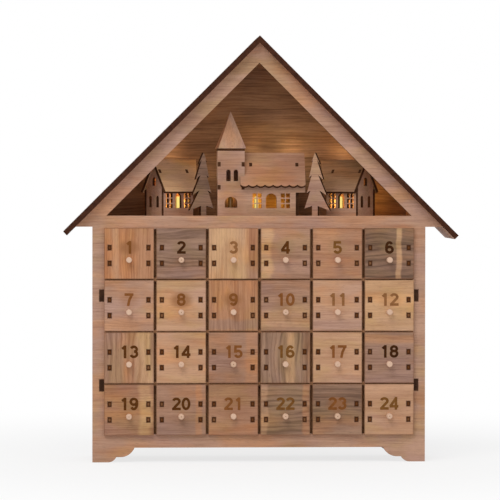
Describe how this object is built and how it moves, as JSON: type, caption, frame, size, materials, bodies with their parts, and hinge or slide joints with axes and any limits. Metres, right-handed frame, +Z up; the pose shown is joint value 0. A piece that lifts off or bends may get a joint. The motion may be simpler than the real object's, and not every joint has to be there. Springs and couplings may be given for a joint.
{
  "type": "wooden advent calendar",
  "caption": "House-shaped plywood advent calendar with a lit village under its gable and numbered pull-out drawers.",
  "frame": {"origin": "on the table under the middle of the calendar", "axes": "+X to the right seen from the front, +Y to the back, +Z up"},
  "size_m": [0.3791, 0.0878, 0.4091],
  "materials": {
    "case_ply": "sanded plywood with scorched laser-cut edges",
    "crate_ply": "sanded plywood with scorched laser-cut edges",
    "roof_ply": "sanded plywood, stained, with scorched edges",
    "drawer_ply": "sanded plywood of mixed tones, numbers burnt in",
    "village_ply": "thin plywood with scorched laser-cut edges",
    "lamp_resin": "clear warm resin",
    "lead_plastic": "soft insulation",
    "case_plastic": "fine spark texture",
    "switch_plastic": "smooth moulding",
    "cell_jacket": "plain printed sleeve",
    "contact_steel": "nickel plated",
    "screw_steel": "zinc plated"
  },
  "bodies": {
    "calendar": {"front_panel": "case_ply", "back_panel": "case_ply", "left_side": "case_ply", "right_side": "case_ply", "bottom_board": "case_ply", "top_board": "case_ply", "shelf_1": "crate_ply", "shelf_2": "crate_ply", "shelf_3": "crate_ply", "dividers": "crate_ply", "floor_bearers": "crate_ply", "left_roof": "roof_ply", "right_roof": "roof_ply", "village_floor": "village_ply", "church_front": "village_ply", "church_tower_walls": "village_ply", "church_nave_walls": "village_ply", "church_nave_roof": "village_ply", "spire_plate": "village_ply", "church_spire": "village_ply", "left_cottage_walls": "village_ply", "left_cottage_roof": "village_ply", "right_cottage_walls": "village_ply", "right_cottage_roof": "village_ply", "left_fir": "village_ply", "right_fir": "village_ply", "lamps": "lamp_resin", "lamp_lead": "lead_plastic", "battery_case": "case_plastic", "battery_cells": "cell_jacket", "battery_contacts": "contact_steel", "case_screws": "screw_steel"},
    "drawer_01": {"drawer_01": "drawer_ply"},
    "drawer_02": {"drawer_02": "drawer_ply"},
    "drawer_03": {"drawer_03": "drawer_ply"},
    "drawer_04": {"drawer_04": "drawer_ply"},
    "drawer_05": {"drawer_05": "drawer_ply"},
    "drawer_06": {"drawer_06": "drawer_ply"},
    "drawer_07": {"drawer_07": "drawer_ply"},
    "drawer_08": {"drawer_08": "drawer_ply"},
    "drawer_09": {"drawer_09": "drawer_ply"},
    "drawer_10": {"drawer_10": "drawer_ply"},
    "drawer_11": {"drawer_11": "drawer_ply"},
    "drawer_12": {"drawer_12": "drawer_ply"},
    "drawer_13": {"drawer_13": "drawer_ply"},
    "drawer_14": {"drawer_14": "drawer_ply"},
    "drawer_15": {"drawer_15": "drawer_ply"},
    "drawer_16": {"drawer_16": "drawer_ply"},
    "drawer_17": {"drawer_17": "drawer_ply"},
    "drawer_18": {"drawer_18": "drawer_ply"},
    "drawer_19": {"drawer_19": "drawer_ply"},
    "drawer_20": {"drawer_20": "drawer_ply"},
    "drawer_21": {"drawer_21": "drawer_ply"},
    "drawer_22": {"drawer_22": "drawer_ply"},
    "drawer_23": {"drawer_23": "drawer_ply"},
    "drawer_24": {"drawer_24": "drawer_ply"},
    "battery_cover": {"battery_cover": "case_plastic"},
    "switch_slider": {"switch_slider": "switch_plastic"}
  },
  "joints": [
    {"name": "drawer_01_slide", "type": "slide", "parent": "calendar", "child": "drawer_01", "axis": [0, -1, 0], "range_m": [0, 0.066]},
    {"name": "drawer_02_slide", "type": "slide", "parent": "calendar", "child": "drawer_02", "axis": [0, -1, 0], "range_m": [0, 0.066]},
    {"name": "drawer_03_slide", "type": "slide", "parent": "calendar", "child": "drawer_03", "axis": [0, -1, 0], "range_m": [0, 0.066]},
    {"name": "drawer_04_slide", "type": "slide", "parent": "calendar", "child": "drawer_04", "axis": [0, -1, 0], "range_m": [0, 0.066]},
    {"name": "drawer_05_slide", "type": "slide", "parent": "calendar", "child": "drawer_05", "axis": [0, -1, 0], "range_m": [0, 0.066]},
    {"name": "drawer_06_slide", "type": "slide", "parent": "calendar", "child": "drawer_06", "axis": [0, -1, 0], "range_m": [0, 0.066]},
    {"name": "drawer_07_slide", "type": "slide", "parent": "calendar", "child": "drawer_07", "axis": [0, -1, 0], "range_m": [0, 0.066]},
    {"name": "drawer_08_slide", "type": "slide", "parent": "calendar", "child": "drawer_08", "axis": [0, -1, 0], "range_m": [0, 0.066]},
    {"name": "drawer_09_slide", "type": "slide", "parent": "calendar", "child": "drawer_09", "axis": [0, -1, 0], "range_m": [0, 0.066]},
    {"name": "drawer_10_slide", "type": "slide", "parent": "calendar", "child": "drawer_10", "axis": [0, -1, 0], "range_m": [0, 0.066]},
    {"name": "drawer_11_slide", "type": "slide", "parent": "calendar", "child": "drawer_11", "axis": [0, -1, 0], "range_m": [0, 0.066]},
    {"name": "drawer_12_slide", "type": "slide", "parent": "calendar", "child": "drawer_12", "axis": [0, -1, 0], "range_m": [0, 0.066]},
    {"name": "drawer_13_slide", "type": "slide", "parent": "calendar", "child": "drawer_13", "axis": [0, -1, 0], "range_m": [0, 0.066]},
    {"name": "drawer_14_slide", "type": "slide", "parent": "calendar", "child": "drawer_14", "axis": [0, -1, 0], "range_m": [0, 0.066]},
    {"name": "drawer_15_slide", "type": "slide", "parent": "calendar", "child": "drawer_15", "axis": [0, -1, 0], "range_m": [0, 0.066]},
    {"name": "drawer_16_slide", "type": "slide", "parent": "calendar", "child": "drawer_16", "axis": [0, -1, 0], "range_m": [0, 0.066]},
    {"name": "drawer_17_slide", "type": "slide", "parent": "calendar", "child": "drawer_17", "axis": [0, -1, 0], "range_m": [0, 0.066]},
    {"name": "drawer_18_slide", "type": "slide", "parent": "calendar", "child": "drawer_18", "axis": [0, -1, 0], "range_m": [0, 0.066]},
    {"name": "drawer_19_slide", "type": "slide", "parent": "calendar", "child": "drawer_19", "axis": [0, -1, 0], "range_m": [0, 0.066]},
    {"name": "drawer_20_slide", "type": "slide", "parent": "calendar", "child": "drawer_20", "axis": [0, -1, 0], "range_m": [0, 0.066]},
    {"name": "drawer_21_slide", "type": "slide", "parent": "calendar", "child": "drawer_21", "axis": [0, -1, 0], "range_m": [0, 0.066]},
    {"name": "drawer_22_slide", "type": "slide", "parent": "calendar", "child": "drawer_22", "axis": [0, -1, 0], "range_m": [0, 0.066]},
    {"name": "drawer_23_slide", "type": "slide", "parent": "calendar", "child": "drawer_23", "axis": [0, -1, 0], "range_m": [0, 0.066]},
    {"name": "drawer_24_slide", "type": "slide", "parent": "calendar", "child": "drawer_24", "axis": [0, -1, 0], "range_m": [0, 0.066]},
    {"name": "battery_cover_lift", "type": "slide", "parent": "calendar", "child": "battery_cover", "axis": [0, 1, 0], "range_m": [0, 0.02]},
    {"name": "switch_slide", "type": "slide", "parent": "calendar", "child": "switch_slider", "axis": [0, 0, 1], "range_m": [0, 0.003]}
  ]
}
